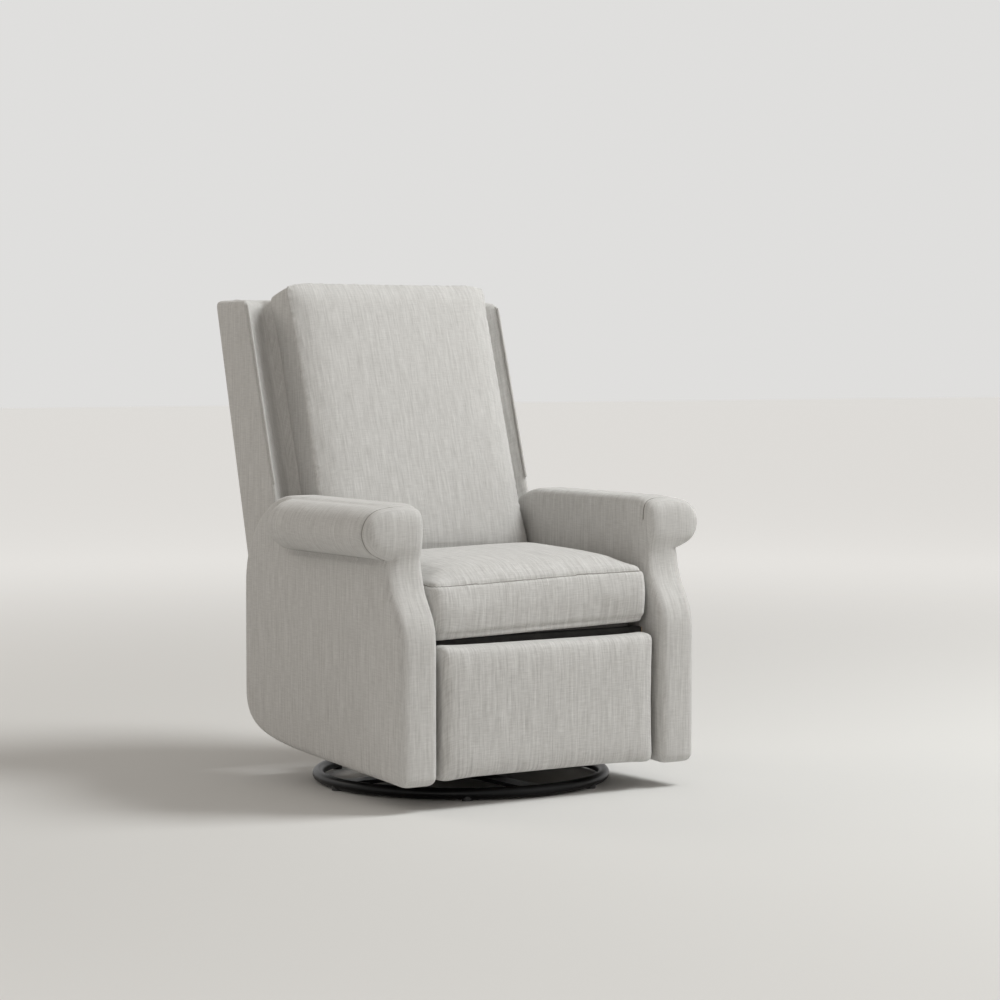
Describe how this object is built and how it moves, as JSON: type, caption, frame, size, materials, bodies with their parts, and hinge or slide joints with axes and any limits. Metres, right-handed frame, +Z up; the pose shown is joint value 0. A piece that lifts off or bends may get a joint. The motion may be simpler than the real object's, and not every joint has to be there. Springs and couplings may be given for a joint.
{
  "type": "swivel glider recliner chair",
  "caption": "Upholstered wing-back nursery glider with rolled arms that swivels on a round steel base, glides on hanging links, reclines and lifts a padded leg rest.",
  "frame": {"origin": "where the swivel axis meets the floor, at the centre of the round base", "axes": "+Z up; the chair faces -Y; +X is to the right as seen from the front"},
  "size_m": [0.84, 0.8609, 1.0585],
  "materials": {
    "upholstery": "woven linen-look upholstery fabric with a fine vertical slub",
    "webbing": "woven webbing and felt",
    "frame_wood": "sawn hardwood and plywood",
    "base_black": "satin black powder coat",
    "mechanism_steel": "black electro-coated steel",
    "bright_steel": "bright zinc",
    "foot_plastic": "black nylon"
  },
  "bodies": {
    "base": {"base_ring": "base_black", "base_spokes": "base_black", "floor_feet": "foot_plastic", "hub_plate": "base_black", "lower_race": "bright_steel", "bearing_balls": "bright_steel", "swivel_bolt": "bright_steel", "swivel_nut": "bright_steel"},
    "turntable": {"upper_race": "bright_steel", "turntable_plate": "mechanism_steel", "glide_upper_pins": "bright_steel", "left_glide_upright": "mechanism_steel", "right_glide_upright": "mechanism_steel"},
    "front_glide": {"front_glide_links": "mechanism_steel"},
    "rear_glide": {"rear_glide_links": "mechanism_steel"},
    "chair": {"left_platform_rail": "mechanism_steel", "right_platform_rail": "mechanism_steel", "left_side_rail": "frame_wood", "right_side_rail": "frame_wood", "left_arm_cover": "upholstery", "right_arm_cover": "upholstery", "left_arm_board": "frame_wood", "right_arm_board": "frame_wood", "left_leg_rest_side_plate": "mechanism_steel", "right_leg_rest_side_plate": "mechanism_steel", "cross_tubes": "mechanism_steel", "glide_lower_pins": "bright_steel", "front_seat_rail": "frame_wood", "rear_seat_rail": "frame_wood", "seat_springs": "bright_steel", "seat_deck": "webbing", "seat_cushion": "upholstery", "tail_panel": "upholstery", "recline_pins": "bright_steel", "rear_link_rivets": "bright_steel"},
    "back": {"back_cushion": "upholstery", "back_frame": "frame_wood", "back_straps": "webbing", "back_skin": "upholstery", "back_crest": "upholstery", "back_blocks": "frame_wood", "left_wing": "upholstery", "right_wing": "upholstery", "left_recline_hinge": "mechanism_steel", "right_recline_hinge": "mechanism_steel"},
    "long_links": {"left_long_link": "mechanism_steel", "right_long_link": "mechanism_steel", "leg_rest_shaft": "bright_steel", "long_link_rivets": "bright_steel"},
    "rear_links": {"left_rear_link": "mechanism_steel", "right_rear_link": "mechanism_steel"},
    "upper_links": {"left_upper_link": "mechanism_steel", "right_upper_link": "mechanism_steel", "upper_link_rivets": "bright_steel"},
    "lower_links": {"left_lower_link": "mechanism_steel", "right_lower_link": "mechanism_steel"},
    "leg_rest": {"leg_rest_pad": "upholstery", "leg_rest_board": "frame_wood", "leg_rest_brackets": "mechanism_steel", "leg_rest_rivets": "bright_steel"}
  },
  "joints": [
    {"name": "swivel", "type": "hinge", "parent": "base", "child": "turntable", "pos_m": [0, 0, 0.035], "axis": [0, 0, 1], "continuous": true},
    {"name": "front_link_swing", "type": "hinge", "parent": "turntable", "child": "front_glide", "pos_m": [0, -0.13, 0.205], "axis": [1, 0, 0], "range_deg": [-22, 22]},
    {"name": "rear_link_swing", "type": "hinge", "parent": "turntable", "child": "rear_glide", "pos_m": [0, 0.13, 0.205], "axis": [1, 0, 0], "range_deg": [-22, 22]},
    {"name": "glide", "type": "hinge", "parent": "front_glide", "child": "chair", "pos_m": [0, -0.13, 0.08], "axis": [1, 0, 0], "range_deg": [-22, 22]},
    {"name": "recline", "type": "hinge", "parent": "chair", "child": "back", "pos_m": [0, 0.16, 0.3], "axis": [-1, 0, 0], "range_deg": [0, 32]},
    {"name": "leg_rest_lift", "type": "hinge", "parent": "chair", "child": "long_links", "pos_m": [0, -0.09, 0.284], "axis": [-1, 0, 0], "range_deg": [0, 87]},
    {"name": "leg_rest_rear_link", "type": "hinge", "parent": "chair", "child": "rear_links", "pos_m": [0, -0.007, 0.289], "axis": [-1, 0, 0], "range_deg": [0, 87]},
    {"name": "leg_rest_upper_link", "type": "hinge", "parent": "long_links", "child": "upper_links", "pos_m": [0, -0.04062, 0.15193], "axis": [-1, 0, 0], "range_deg": [-87, 0]},
    {"name": "leg_rest_lower_link", "type": "hinge", "parent": "long_links", "child": "lower_links", "pos_m": [0, -0.01611, 0.08636], "axis": [-1, 0, 0], "range_deg": [-87, 0]},
    {"name": "leg_rest_turn", "type": "hinge", "parent": "upper_links", "child": "leg_rest", "pos_m": [0, -0.28562, 0.26593], "axis": [-1, 0, 0], "range_deg": [0, 87]}
  ],
  "couplings": [
    {"joint": "front_link_swing", "follows": "glide", "ratio": -1},
    {"joint": "rear_link_swing", "follows": "glide", "ratio": -1},
    {"joint": "leg_rest_rear_link", "follows": "leg_rest_lift", "ratio": 1},
    {"joint": "leg_rest_upper_link", "follows": "leg_rest_lift", "ratio": -1},
    {"joint": "leg_rest_lower_link", "follows": "leg_rest_lift", "ratio": -1},
    {"joint": "leg_rest_turn", "follows": "leg_rest_lift", "ratio": 1}
  ]
}
